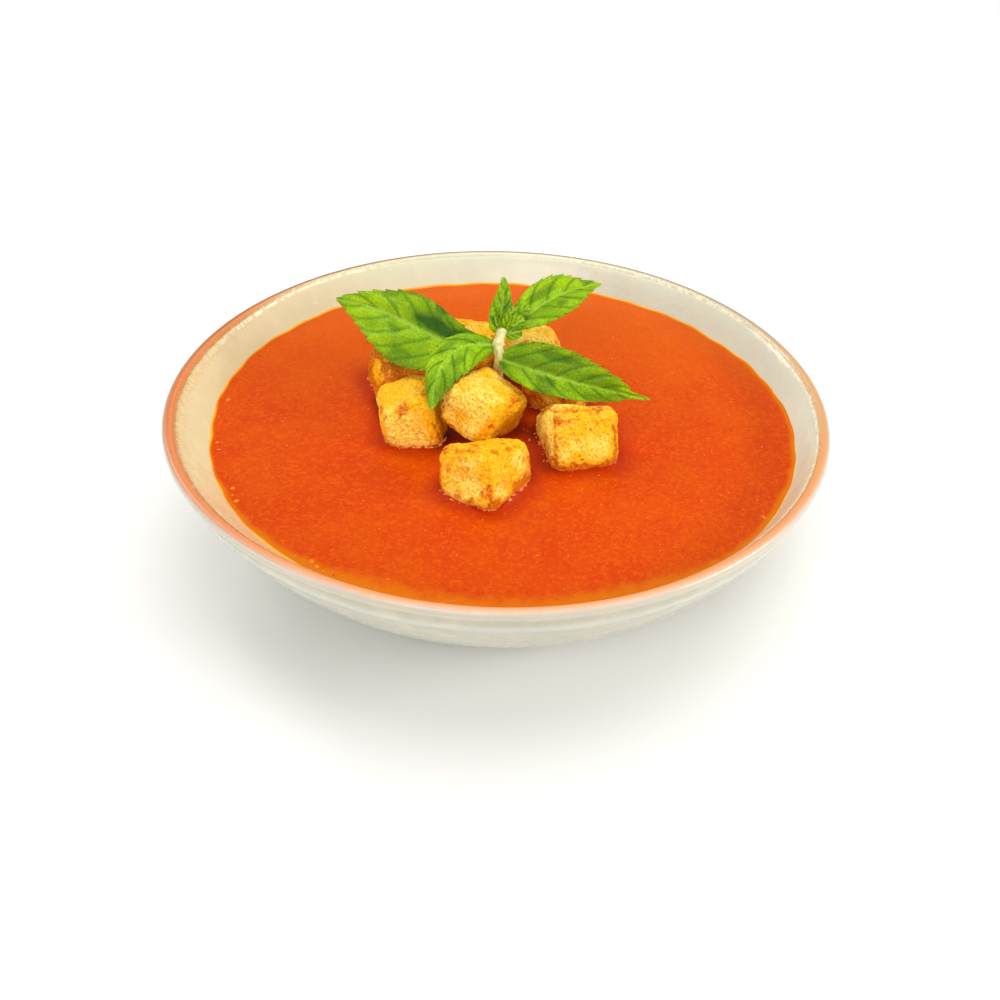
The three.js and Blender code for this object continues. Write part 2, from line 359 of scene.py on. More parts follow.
# Values at (degrees, value) stops round the rim: how wide the bare band is in mm, how burnt and how
# ochre it is, how dark the lip's outer edge, how pink the lip, and how strong the painted highlight
# of rippled glints on the glaze below it is.
RIM_STOPS = {
    "band_width": ((5, 1.2), (45, 0.3), (90, -0.4), (125, 0.4), (160, 2.1), (205, 2.5), (240, 2.3),
                   (270, 2.2), (320, 2.0)),
    "burnt": ((5, 0.7), (45, 0.3), (90, 0.12), (130, 0.5), (165, 1), (205, 1), (240, 0.9), (270, 0.7),
              (320, 0.9)),
    "ochre": ((10, 1), (60, 0.9), (100, 0.7), (140, 0.25), (180, 0), (225, 0), (280, 0.3), (330, 0.55)),
    "edge_dark": ((5, 0.35), (45, 0.75), (90, 0.9), (125, 1), (150, 0.9), (180, 0.5), (215, 0.25),
                  (250, 0), (290, 0), (330, 0.15)),
    "blush": ((0, 0.2), (60, 0), (130, 0), (180, 0.15), (215, 0.4), (245, 1), (290, 1), (330, 0.45)),
    "painted_glint_strength": ((5, 0.7), (45, 1), (75, 0.6), (95, 0.15), (110, 0.25), (124, 1), (150, 0.9), (170, 0.2),
               (230, 0.2), (300, 0.5)),
}
numbers = {label: round_the_rim(turn_at, *stops) for label, stops in RIM_STOPS.items()}
bowl = build_piece("stoneware_bowl", points, faces,
                   {"past_lip": from_lip * 1000, "around": around, **numbers})
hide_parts("bowl")


def shade(red, green, blue):
    """A colour given in the eight-bit numbers of a colour chart, as the linear one shaders use."""
    chart = np.array([red, green, blue]) / 255
    linear = np.where(chart <= 0.04045, chart / 12.92, ((chart + 0.055) / 1.055) ** 2.4)
    return (*linear.tolist(), 1.0)


class Nodes:
    """Short names for the nodes of a shader tree, each giving back one output socket."""

    def __init__(self, tree):
        self.tree = tree

    def link(self, value, socket):
        """Joins an output to an input, or sets the input when the value is plain."""
        if isinstance(value, bpy.types.NodeSocket):
            self.tree.links.new(value, socket)
        else:
            socket.default_value = value

    def number(self, label, output="Fac"):
        """The number stored at each point of the mesh under a name."""
        node = self.tree.nodes.new("ShaderNodeAttribute")
        node.attribute_name = label
        return node.outputs[output]

    def place(self):
        """The point's own place in the object."""
        return self.tree.nodes.new("ShaderNodeTexCoord").outputs["Object"]

    def per_metre(self, size):
        """How many of a size go into a metre."""
        if not isinstance(size, bpy.types.NodeSocket):
            return 1 / size
        node = self.tree.nodes.new("ShaderNodeMath")
        node.operation = "DIVIDE"
        node.inputs[0].default_value = 1
        self.link(size, node.inputs[1])
        return node.outputs[0]

    def cloud(self, size, detail=3.0, vector=None, roughness=0.55):
        """Noise whose blotches are about size metres across."""
        node = self.tree.nodes.new("ShaderNodeTexNoise")
        self.link(vector or self.place(), node.inputs["Vector"])
        self.link(self.per_metre(size), node.inputs["Scale"])
        self.link(detail, node.inputs["Detail"])
        node.inputs["Roughness"].default_value = roughness
        return node.outputs["Fac"]

    def spots(self, size, feature="F1", vector=None):
        """Distance to the nearest of scattered points about size metres apart, in those steps, or
        to the border between two of them."""
        node = self.tree.nodes.new("ShaderNodeTexVoronoi")
        node.feature = feature
        self.link(vector or self.place(), node.inputs["Vector"])
        self.link(self.per_metre(size), node.inputs["Scale"])
        return node.outputs["Distance"]

    def sum(self, *terms):
        """Adds (value, factor) pairs."""
        total = None
        for value, factor in terms:
            node = self.tree.nodes.new("ShaderNodeMath")
            node.operation = "MULTIPLY_ADD"
            self.link(value, node.inputs[0])
            node.inputs[1].default_value = factor
            self.link(0.0 if total is None else total, node.inputs[2])
            total = node.outputs[0]
        return total

    def times(self, product, *factors):
        """The product of two or more values."""
        for factor in factors:
            node = self.tree.nodes.new("ShaderNodeMath")
            node.operation = "MULTIPLY"
            self.link(product, node.inputs[0])
            self.link(factor, node.inputs[1])
            product = node.outputs[0]
        return product

    def step(self, value, low, high, to_low=0.0, to_high=1.0):
        """Runs smoothly from to_low where the value is low to to_high where it is high."""
        node = self.tree.nodes.new("ShaderNodeMapRange")
        node.interpolation_type = "SMOOTHSTEP"
        limits = {"Value": value, "From Min": low, "From Max": high, "To Min": to_low, "To Max": to_high}
        for label, limit in limits.items():
            self.link(limit, node.inputs[label])
        return node.outputs["Result"]

    def within(self, value, rise_from, rise_to, fall_from, fall_to, most=1.0):
        """Rises smoothly from 0 over the first stretch of the value and falls from the most to 0
        over the second."""
        return self.times(self.step(value, rise_from, rise_to),
                          self.step(value, fall_from, fall_to, most, 0))

    def blend(self, amount, first, second):
        """The first colour where the amount is 0 and the second where it is 1."""
        node = self.tree.nodes.new("ShaderNodeMix")
        node.data_type = "RGBA"
        self.link(amount, node.inputs[0])
        self.link(first, node.inputs[6])
        self.link(second, node.inputs[7])
        return node.outputs[2]

    def relief(self, height, deep, normal=None):
        """A bump of the given depth in metres."""
        node = self.tree.nodes.new("ShaderNodeBump")
        node.inputs["Distance"].default_value = deep
        self.link(height, node.inputs["Height"])
        if normal is not None:
            self.link(normal, node.inputs["Normal"])
        return node.outputs["Normal"]


def effect_group(name, inputs, outputs):
    """An empty shader node group that works at a place and takes numbers, each with its usual
    value. Gives its nodes, its input sockets and its output sockets."""
    group = bpy.data.node_groups.new(name, "ShaderNodeTree")
    group.interface.new_socket(name="Place", in_out="INPUT", socket_type="NodeSocketVector")
    for label, usual in inputs.items():
        socket = group.interface.new_socket(name=label, in_out="INPUT", socket_type="NodeSocketFloat")
        socket.default_value = usual
    for label in outputs:
        group.interface.new_socket(name=label, in_out="OUTPUT", socket_type="NodeSocketFloat")
    given = group.nodes.new("NodeGroupInput").outputs
    return Nodes(group), given, group.nodes.new("NodeGroupOutput").inputs


# Grain: blotches of noise with a soft edge.
group, given, result = effect_group("grain", {"Size": 1 * MM, "Detail": 3, "Low": 0.4, "High": 0.6,
                                              "Least": 0, "Most": 1}, ["Mask"])
noise = group.cloud(given["Size"], given["Detail"], given["Place"])
group.link(group.step(noise, given["Low"], given["High"], given["Least"], given["Most"]), result["Mask"])

# Specks: round spots at scattered points, that show only inside soft patches.
group, given, result = effect_group("specks", {"Spacing": 2 * MM, "Core": 0.05, "Edge": 0.1,
                                               "Patch Size": 8 * MM, "Patch Low": 0.5, "Patch High": 0.6,
                                               "Least": 0, "Most": 1}, ["Mask"])
round_spots = group.step(group.spots(given["Spacing"], vector=given["Place"]),
                         given["Core"], given["Edge"], 1, 0)
patches = group.step(group.cloud(given["Patch Size"], 3, given["Place"]),
                     given["Patch Low"], given["Patch High"], given["Least"], given["Most"])
group.link(group.times(round_spots, patches), result["Mask"])


class Finish(Nodes):
    """A material being made: the nodes that lead to the sockets of its one shader."""

    def __init__(self, name, **plain):
        self.material = bpy.data.materials.new(name)
        self.material.use_nodes = True
        super().__init__(self.material.node_tree)
        self.shader = self.tree.nodes["Principled BSDF"]
        self.colour = None
        for label, value in plain.items():
            self.shader.inputs[label.replace("_", " ").title().replace("Ior", "IOR")].default_value = value

    def effect(self, name, **values):
        """The mask of an effect placed in this material with its own values."""
        node = self.tree.nodes.new("ShaderNodeGroup")
        node.node_tree = bpy.data.node_groups[name]
        self.link(self.place(), node.inputs["Place"])
        for label, value in values.items():
            self.link(value, node.inputs[label.replace("_", " ").title()])
        return node.outputs["Mask"]

    def layer(self, amount, colour):
        """Lays a colour over the material's own, all of it where the amount is 1."""
        self.colour = self.blend(amount, self.colour, colour)

    def onto(self, *pieces, **outputs):
        """Joins the named shader sockets and puts the material on the pieces."""
        for label, value in outputs.items():
            self.link(value, self.shader.inputs[label.replace("_", " ").title()])
        for piece in pieces:
            piece.data.materials.append(self.material)


CREAM_INSIDE = shade(216, 217, 186)
CREAM_WARM = shade(230, 206, 154)
CREAM_COOL = shade(218, 222, 205)
CREAM_OUTSIDE = shade(202, 202, 190)
CREAM_LOW_PAINTED_SHADE = shade(196, 190, 170)
TERRACOTTA = shade(220, 118, 56)
OCHRE = shade(240, 172, 88)
BURNT_EDGE = shade(152, 88, 48)
PALE_LIP = shade(206, 187, 166)
THIN_GLAZE = shade(216, 168, 108)
BLUSH = shade(250, 164, 112)
HAIR_BROWN = shade(164, 116, 70)
PAINTED_GLAZE_GLINT = shade(255, 250, 214)
TAN_EDGE = shade(136, 116, 80)
glaze = Finish("cream_glaze", roughness=0.2, coat_weight=0.12, coat_roughness=0.08,
               specular_ior_level=0.3)
past_lip = glaze.number("past_lip")
ochreous = glaze.number("ochre")
wide_streaks = glaze.cloud(1 / 60, 2.0, glaze.number("around", "Vector"), 0.6)
fine_streaks = glaze.cloud(1 / 210, 2.0, glaze.number("around", "Vector"), 0.7)
mottle = glaze.cloud(7 * MM, 3)
feather = glaze.sum((past_lip, 1.0), (glaze.number("band_width"), -1.0), (wide_streaks, -1.6),
                    (fine_streaks, -2.2), (1.0, 1.9))
inner = glaze.step(past_lip, -0.5, 1.0)
glaze.colour = glaze.blend(inner, CREAM_OUTSIDE, CREAM_INSIDE)
glaze.layer(glaze.times(inner, glaze.step(ochreous, 0.0, 0.6, 0.85, 0)), CREAM_WARM)
glaze.layer(glaze.times(inner, glaze.step(ochreous, 0.5, 1.0, 0, 0.8)), CREAM_COOL)
# Painted shade: the outside wall below the ledge faces down and is darkened.
glaze.layer(glaze.step(past_lip, -12.2, -10.4, 0.8, 0), CREAM_LOW_PAINTED_SHADE)
# Painted shade in the hollow that runs round the outside under the lip.
glaze.layer(glaze.within(past_lip, -9.2, -7.0, -4.8, -3.0, 0.8), shade(186, 178, 152))
glaze.layer(glaze.step(mottle, 0.4, 0.75, 0, 0.3), shade(238, 226, 190))
specks = glaze.effect("specks", spacing=3.2 * MM, edge=0.09, patch_size=9 * MM, patch_low=0.55,
                      patch_high=0.65, most=0.4)
glaze.layer(specks, shade(200, 164, 116))
burn = glaze.number("burnt")
runs = glaze.sum((feather, 1.0), (fine_streaks, -7.0), (1.0, 3.2))
glaze.layer(glaze.times(glaze.step(runs, -1.0, 3.4, 0.9, 0), inner, burn), THIN_GLAZE)
blushing = glaze.number("blush")
fraying = glaze.sum((past_lip, 1.0), (fine_streaks, 1.6), (-0.8, 1.0))
on_top = glaze.step(fraying, -2.0, -0.2)
band = glaze.times(glaze.step(feather, -0.5, 0.35, 0.95, 0), on_top, glaze.step(burn, 0.2, 0.9, 0.25, 1))
rust = glaze.blend(ochreous, TERRACOTTA, OCHRE)
rust = glaze.blend(glaze.step(fine_streaks, 0.45, 0.7, 0, 0.6), rust, shade(242, 160, 98))
rust = glaze.blend(glaze.times(blushing, 0.85), rust, BLUSH)
glaze.layer(band, rust)
# Painted highlight: pale rippled glints on the glaze just inside the bare band, where lamps would catch
# the lip.
glaze_glints_painted = glaze.times(glaze.within(feather, 0.5, 1.0, 1.6, 2.4), glaze.number("painted_glint_strength"), on_top,
                    glaze.step(wide_streaks, 0.42, 0.58, 0.25, 1))
glaze.layer(glaze_glints_painted, PAINTED_GLAZE_GLINT)
edge_line = glaze.times(glaze.within(past_lip, -2.0, -1.3, 0.0, 0.9, 0.9), glaze.number("edge_dark"))
glaze.layer(edge_line, glaze.blend(ochreous, BURNT_EDGE, TAN_EDGE))
hairs = glaze.times(glaze.within(feather, -0.45, -0.05, 0.0, 0.5, 0.5), burn,
                    glaze.step(blushing, 0.3, 1, 1, 0.2), glaze.step(fine_streaks, 0.4, 0.6, 0.3, 1))
glaze.layer(hairs, HAIR_BROWN)
glaze.layer(glaze.within(past_lip, -4.2, -2.6, -2.0, -1.4, 0.8), PALE_LIP)
throwing = glaze.sum((glaze.cloud(14 * MM, 2), 1.0), (glaze.cloud(2.2 * MM, 2), 0.2))
glaze.onto(bowl, base_color=glaze.colour, normal=glaze.relief(throwing, 0.6 * MM),
           roughness=glaze.step(band, 0, 1, 0.2, 0.42))


# ---- Croutons ----
# Eight cubes of white bread fried in oil until the edges brown. The crumb shows as open pores,
# the cut faces stay pale or turn golden, and the foot of each cube stands in the soup. The pale
# faces are partly painted highlight on the lit sides, and the pores and the cubes under the
# leaves carry painted shade.
CROUTON_EDGE = 4.8 * MM
CROUTON_STEPS = 80
# Cell and height in mm, and seed, of the lumps from the largest to the finest.
CROUTON_LUMPS = ((8, 1.0, 11), (3.2, 0.24, 12), (1.3, 0.16, 13), (0.7, 0.14, 14))
LARGE_PORES = 3.6 * MM
SMALL_PORES = 1.05 * MM
SOUP_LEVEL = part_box("soup")[1].z
# Name, size in mm, turn and two tilts in degrees, the side that is golden, and how brown it is.
# For crouton_back_left and crouton_right_back the brownness is partly painted shade from the leaves above.
CROUTONS = (
    ("crouton_front", (22.4, 19.3, 18.9), 53, (-20, 21), (0.1, 0.3, 0.95), 0.6),
    ("crouton_right", (21.6, 22.8, 19.4), 12, (-33, 3), (0.9, -0.1, -0.6), 0.5),
    ("crouton_left", (17.6, 23, 19.9), 5, (-6, -22), (0.7, 0.4, 0.7), 0.2),
    ("crouton_centre", (20.1, 22.8, 16.5), -33, (-13, 17), (0.9, -0.1, -0.2), 0.22),
    # Painted shade: extra brownness darkens this cube under the left leaf.
    ("crouton_back_left", (19, 19, 18), 20, (8, 6), (-0.6, -0.4, 0.3), 1.4),
    ("crouton_back", (19, 19, 18), -20, (10, -5), (0.2, 0.4, 0.6), 0.3),
    ("crouton_back_right", (16.5, 18, 19), 12, (-8, 6), (0.2, 0.9, -0.2), 0.05),
    # Painted shade: extra brownness darkens this cube under the right leaf.
    ("crouton_right_back", (19, 18, 20), -28, (12, 4), (0.3, -0.3, 0.8), 0.9),
)


def spun(points, axis, degrees):
    """Points turned about one axis."""
    c, s = math.cos(math.radians(degrees)), math.sin(math.radians(degrees))
    a, b = (axis + 1) % 3, (axis + 2) % 3
    moved = points.copy()
    moved[:, a] = c * points[:, a] - s * points[:, b]
    moved[:, b] = s * points[:, a] + c * points[:, b]
    return moved


def turned(points, turn, tilts):
    """Points tilted about X, then about Y, then turned about Z."""
    return spun(spun(spun(points, 0, tilts[0]), 1, tilts[1]), 2, turn)


def cube_grid(steps):
    """Points of a cube from -1 to 1 with a square grid on each side, and its outward quads."""
    line = np.arange(steps + 1)
    a, b = np.meshgrid(line, line, indexing="ij")
    sides = []
    quads = []
    cell = np.arange(steps)[:, None] * (steps + 1) + np.arange(steps)[None, :]
    quad = np.stack([cell, cell + steps + 1, cell + steps + 2, cell + 1], axis=-1).reshape(-1, 4)
    for axis in range(3):
        for end in (0, steps):
            side = np.empty((steps + 1, steps + 1, 3), int)
            side[..., axis] = end
            side[..., (axis + 1) % 3] = a
            side[..., (axis + 2) % 3] = b
            quads.append((quad if end else quad[:, ::-1]) + len(sides) * (steps + 1) ** 2)
            sides.append(side.reshape(-1, 3))
    lattice = np.concatenate(sides)
    code = (lattice[:, 0] * (steps + 1) + lattice[:, 1]) * (steps + 1) + lattice[:, 2]
    _, first, place = np.unique(code, return_index=True, return_inverse=True)
    return lattice[first] * 2 / steps - 1, place.reshape(-1)[np.concatenate(quads)]


def nearest_seed(points, cell, seed):
    """Distance, in cells, from each point to the nearest of the random points that fill space one
    to a cell."""
    table = np.random.default_rng(seed).uniform(0, 1, (NOISE_TABLE, 3))
    scaled = points / cell
    base = np.floor(scaled).astype(np.int64)
    nearest = np.full(len(points), 9.0)
    for step in np.ndindex(3, 3, 3):
        at = base + np.array(step) - 1
        away = np.linalg.norm(at + table[table_place(at)] - scaled, axis=1)
        nearest = np.minimum(nearest, away)
    return nearest


def bread_cube(size, order):
    """A rounded box, each point at the edge radius from an inner box, moved along that radius by
    lumps of four sizes and sunk at round pores of two sizes. Also gives the radius' direction,
    how near an edge each point is, and how deep in a pore, for painted shade in the pores."""
    unit, quads = cube_grid(CROUTON_STEPS)
    half = np.array(size) * MM / 2
    core = np.clip(unit * half, CROUTON_EDGE - half, half - CROUTON_EDGE)
    direction = unit * half - core
    direction /= np.linalg.norm(direction, axis=1, keepdims=True)
    points = core + CROUTON_EDGE * direction
    drift = points + order * 0.1
    lumps = sum(rise * lattice_noise(drift, cell * MM, seed) for cell, rise, seed in CROUTON_LUMPS)
    large = ease(nearest_seed(drift, LARGE_PORES, 15), 0.1, 0.24)
    small = ease(nearest_seed(drift, SMALL_PORES, 16), 0.18, 0.5)
    pore_shade = 1 - large * (0.3 + 0.7 * small)
    rise = lumps - 0.45 * (1 - large) - 0.2 * (1 - small)
    edged = np.sort(np.abs(unit), axis=1)[:, 1] ** 3
    return points + direction * (rise[:, None] * MM), quads, direction, edged, pore_shade


croutons = []
for order, (name, size, turn, tilts, golden_side, brown) in enumerate(CROUTONS):
    points, quads, direction, edged, pore_shade = bread_cube(size, order)
    points = turned(points, turn, tilts)
    direction = turned(direction, turn, tilts)
    low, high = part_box(name)
    points += (np.array(low + high) - points.min(axis=0) - points.max(axis=0)) / 2
    side = np.array(golden_side) / np.linalg.norm(golden_side)
    patches = lattice_noise(points, 6 * MM, 21 + order) + 0.5 * lattice_noise(points, 2.4 * MM, 31)
    # Golden towards the listed side, pale cream elsewhere: partly the bread's frying, partly a painted
    # highlight on the lit faces.
    golden = ease(0.75 * (direction @ side) + 0.6 * patches + 0.6 * edged, -0.35, 0.5)
    burnt = lattice_noise(points, 3.6 * MM, 41 + order) + 0.5 * lattice_noise(points, 1.2 * MM, 51)
    low_down = 1 - ease(points[:, 2] - SOUP_LEVEL, 1 * MM, 7 * MM)
    toast = ease(edged + 0.75 * burnt + 0.5 * low_down + 0.9 * (brown - 0.5), 0.4, 1.15)
    wet = 1 - ease(points[:, 2] - SOUP_LEVEL + 0.5 * MM * burnt, 0.3 * MM, 2.2 * MM)
    cube = build_piece("fried_" + name, points, [quads],
                       {"golden": golden, "toast": toast, "pore_shade": pore_shade, "wet": wet})
    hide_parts(name)
    croutons.append(cube)

CRUMB_CREAM = shade(255, 230, 106)
CRUMB_GOLD = shade(255, 188, 2)
CRUST_ORANGE = shade(230, 128, 4)
CRUST_BROWN = shade(176, 92, 24)
CHAR = shade(70, 36, 14)
SOUP_STAIN = shade(236, 128, 44)
crust = Finish("fried_bread", roughness=0.5, specular_ior_level=0.1)
grain = crust.cloud(0.75 * MM, 4)
crust.colour = crust.blend(crust.number("golden"), CRUMB_CREAM, CRUMB_GOLD)
crust.layer(crust.step(grain, 0.45, 0.62, 0, 0.75), shade(240, 152, 2))
crust.layer(crust.effect("grain", size=0.55 * MM, detail=2, low=0.5, high=0.66, most=0.75),
            shade(255, 218, 72))
crust.layer(crust.number("toast"), CRUST_ORANGE)
browned = crust.times(crust.step(crust.number("toast"), 0.45, 1.0), crust.step(grain, 0.42, 0.62))
crust.layer(browned, CRUST_BROWN)
# Painted shade: the pores are darkened to orange by how deep they are.
crust.layer(crust.step(crust.number("pore_shade"), 0.3, 1.0, 0, 0.5), shade(232, 144, 16))
flecked = crust.effect("specks", spacing=1.1 * MM, core=0.12, edge=0.32, patch_size=5 * MM,
                       patch_low=0.42, patch_high=0.56, least=0.25, most=0.85)
crust.layer(flecked, shade(196, 104, 14))
charred = crust.effect("specks", spacing=4.1 * MM, core=0.07, edge=0.13, patch_size=9 * MM,
                       patch_high=0.58)
crust.layer(charred, CHAR)
crust.layer(crust.times(crust.number("wet"), 0.7), SOUP_STAIN)
crust.onto(*croutons, base_color=crust.colour, normal=crust.relief(grain, 0.22 * MM),
           roughness=crust.step(crust.number("wet"), 0, 1, 0.45, 0.22))


# ---- Soup ----
# Smooth blended tomato soup, poured to about a finger's breadth under the lip. A thin oily film
# climbs the wall and thins to yellow, and the surface draws up a little round each crouton.
SOUP_TOP_ROWS = 150
SOUP_UNDER_ROWS = 26
SOUP_AROUND = 480
WALL_STEPS = 900
INNERMOST_ROW = 0.985
OFF_WALL = 0.15 * MM
FILM_INTO_WALL = 0.12 * MM
RIPPLE = 0.1 * MM
CLIMB = 0.55 * MM
CLIMB_REACH = 0.7 * MM
DRAWN_UP = 0.45 * MM
DRAWN_REACH = 0.9 * MM


def gap_to(crouton, points):
    """Signed distance from points to a crouton's rounded box: their distance from its inner box,
    less the edge radius."""
    name, size, turn, tilts = crouton[:4]
    low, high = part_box(name)
    local = spun(spun(spun(points - np.array(low + high) / 2, 2, -turn), 1, -tilts[1]), 0, -tilts[0])
    past = np.abs(local) - (np.array(size) * MM / 2 - CROUTON_EDGE)
    return np.linalg.norm(np.maximum(past, 0), axis=1) + np.minimum(past.max(axis=1), 0) - CROUTON_EDGE


def on_soup(away, heading, above_it=0.0):
    """Points at the level of the soup, or a little above it, by distance and angle."""
    return np.stack([away * np.cos(heading), away * np.sin(heading),
                     np.full_like(away, SOUP_LEVEL + above_it)], axis=-1)


soup_angle = np.linspace(0, 2 * math.pi, SOUP_AROUND, endpoint=False)
wall = inner_wall(np.linspace(0, 1, WALL_STEPS))
climb = CLIMB * (1 + 0.5 * np.sin(7 * soup_angle + 1) + 0.4 * np.sin(17 * soup_angle)
                 + 0.35 * np.sin(41 * soup_angle + 2))
shore_height = SOUP_LEVEL + climb
shore_radius = np.interp(shore_height, wall[::-1, 1], wall[::-1, 0])
shore_radius = uneven(shore_radius, soup_angle, shore_height, inner=True) + FILM_INTO_WALL
waterline = np.interp(SOUP_LEVEL - 0.5 * MM, wall[::-1, 1], np.linspace(1, 0, WALL_STEPS))
low_wall = inner_wall(1 - np.linspace(0, 1, SOUP_UNDER_ROWS) * (1 - waterline), OFF_WALL)
under_radius = uneven(low_wall[:, :1], soup_angle[None, :], low_wall[:, 1:], inner=True)
under_radius = np.concatenate([np.full((1, SOUP_AROUND), 4 * MM), under_radius])
under_height = np.repeat([[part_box("soup")[0].z], *low_wall[:, 1:]], SOUP_AROUND, axis=1)
inward = np.linspace(0, 1, SOUP_TOP_ROWS) ** 1.25
inward = inward[inward < INNERMOST_ROW]
top_radius = shore_radius[None, :] * (1 - inward[:, None])
gap = shore_radius[None, :] - top_radius
flat = on_soup(top_radius, soup_angle).reshape(-1, 3)
crouton_gaps = np.sort([gap_to(crouton, flat) for crouton in CROUTONS], axis=0)
nearest_crouton = crouton_gaps[0].reshape(gap.shape)
# Painted shadow: how closely two croutons hem in each point of the soup's surface.
painted_shade_between = 1 - ease(crouton_gaps[0] + 0.8 * crouton_gaps[1], 2 * MM, 11 * MM)
waves = lattice_noise(flat, 9 * MM, 61) + 0.5 * lattice_noise(flat, 3.5 * MM, 62)
top_height = (SOUP_LEVEL + RIPPLE * waves.reshape(gap.shape) * ease(gap, 0, 3 * MM)
              + climb[None, :] * np.exp(-gap / CLIMB_REACH)
              + DRAWN_UP * np.exp(-np.maximum(nearest_crouton, 0) / DRAWN_REACH))
points, faces = revolve(np.concatenate([under_radius, top_radius]),
                        np.concatenate([under_height, top_height]))
under_count = under_radius.size
film_width = round_the_rim(soup_angle, (0, 2.0), (50, 1.5), (90, 1.9), (140, 1.2), (190, 1.3), (225, 3.4),
                           (252, 8.6), (288, 8.2), (322, 2.6)) * MM
skim_width = round_the_rim(soup_angle, (0, 0.5), (60, 1.0), (120, 1.4), (185, 1.0), (225, 1.1),
                           (250, 0.2), (300, 0.15), (330, 0.4)) * MM
shore = np.concatenate([np.zeros(under_count), (gap / film_width).ravel(), [0, 30]])
skim = np.concatenate([np.full(under_count, 9.0), (gap / skim_width).ravel(), [9, 90]])
beside = np.concatenate([np.full(under_count, 50.0), nearest_crouton.ravel() * 1000, [50, 0]])
painted_far_sheen = np.append(ease(points[:-2, 1], -10 * MM, 80 * MM), [0, 0])
painted_shade_between = np.concatenate([np.zeros(under_count), painted_shade_between, [0, 1]])
soup = build_piece("tomato_soup", points, faces,
                   {"shore": shore, "skim": skim, "beside": beside, "painted_far_sheen": painted_far_sheen,
                    "painted_shade_between": painted_shade_between})
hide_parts("soup")

SOUP_RED = shade(207, 66, 0)
SOUP_DEEP = shade(198, 51, 0)
SOUP_LIGHT = shade(212, 78, 0)
FILM_ORANGE = shade(220, 116, 2)
FILM_YELLOW = shade(248, 186, 52)
broth = Finish("tomato_soup", roughness=0.26, specular_ior_level=0.08, coat_weight=0.03,
               coat_roughness=0.1)
pulp = broth.cloud(1.3 * MM, 3)
drift = broth.effect("grain", size=16 * MM, detail=4, low=0.35, high=0.7)
broth.colour = broth.blend(drift, SOUP_RED, SOUP_LIGHT)
broth.layer(broth.effect("grain", size=5 * MM, detail=4, low=0.5, high=0.75, most=0.35), SOUP_DEEP)
broth.layer(broth.step(pulp, 0.48, 0.64, 0, 0.6), shade(224, 92, 2))
broth.layer(broth.effect("grain", size=0.9 * MM, detail=2, low=0.52, high=0.68, most=0.55),
            shade(200, 44, 0))
skins = broth.effect("specks", spacing=2.3 * MM, edge=0.11, patch_size=6 * MM, patch_low=0.45, most=0.7)
broth.layer(skins, shade(186, 40, 16))
beside = broth.number("beside")
# Painted reflection: the soup is lightened towards the back, where lamp sheen would lie.
broth.layer(broth.times(broth.number("painted_far_sheen"), 0.6), shade(216, 98, 0))
# Painted shade: the soup darkens within about 8 mm of each crouton.
broth.layer(broth.step(beside, 0, 8, 0.7, 0), shade(168, 34, 6))
# Painted shadow: the soup goes near black-red in the gaps between croutons.
broth.layer(broth.number("painted_shade_between"), shade(84, 14, 2))
glint = broth.times(broth.step(beside, 0.15, 0.5, 0.8, 0),
                    broth.effect("grain", size=1.6 * MM, detail=2, low=0.5, high=0.62))
broth.layer(glint, shade(250, 176, 104))
reach = broth.sum((broth.number("shore"), 1.0), (broth.cloud(4 * MM, 3), -0.7), (1.0, 0.35))
broth.layer(broth.step(reach, 0.4, 1.2, 0.92, 0), FILM_ORANGE)
broth.layer(broth.step(broth.number("skim"), 0.3, 1.1, 0.92, 0), FILM_YELLOW)
broth.onto(soup, base_color=broth.colour, normal=broth.relief(pulp, 0.13 * MM))


# ---- Flecks and oil drops ----
# Scraps of pulp and tiny domes of oil that float on the soup, most of them near the wall.
FLECKS = 420
DROPS = 34
STREWN_RADIUS = 88 * MM
AFLOAT_FROM = 0.8 * MM


def scattered_lumps(name, centres, sizes, rough, seed, rows=5, around=8):
    """Many small closed lumps as one mesh: each is a low-poly ellipsoid (radius sin, height cos)
    scaled by its own three sizes, turned about Z and made uneven by up to a part of its size."""
    random = np.random.default_rng(seed)
    polar = np.linspace(0, math.pi, rows + 2)[1:-1]
    spin = np.linspace(0, 2 * math.pi, around, endpoint=False)
    ball = np.stack([np.outer(np.sin(polar), np.cos(spin)), np.outer(np.sin(polar), np.sin(spin)),
                     np.outer(-np.cos(polar), np.ones(around))], axis=-1).reshape(-1, 3)
    ball = np.concatenate([ball, [[0, 0, -1], [0, 0, 1]]])
    count = len(centres)
    shapes = ball[None] * (1 + rough * random.uniform(-1, 1, (count, len(ball), 1)))
    shapes = shapes * np.asarray(sizes)[:, None, :]
    turn = random.uniform(0, 2 * math.pi, count)[:, None]
    c, s = np.cos(turn), np.sin(turn)
    shapes = np.stack([c * shapes[..., 0] - s * shapes[..., 1],
                       s * shapes[..., 0] + c * shapes[..., 1], shapes[..., 2]], axis=-1)
    points = (shapes + np.asarray(centres)[:, None, :]).reshape(-1, 3)
    first = np.arange(count)[:, None, None] * len(ball)
    faces = [(part[None] + first).reshape(-1, part.shape[1]) for part in closed_faces(rows, around)]
    tint = np.repeat(random.uniform(0, 1, count), len(ball))
    return build_piece(name, points, faces, {"tint": tint})


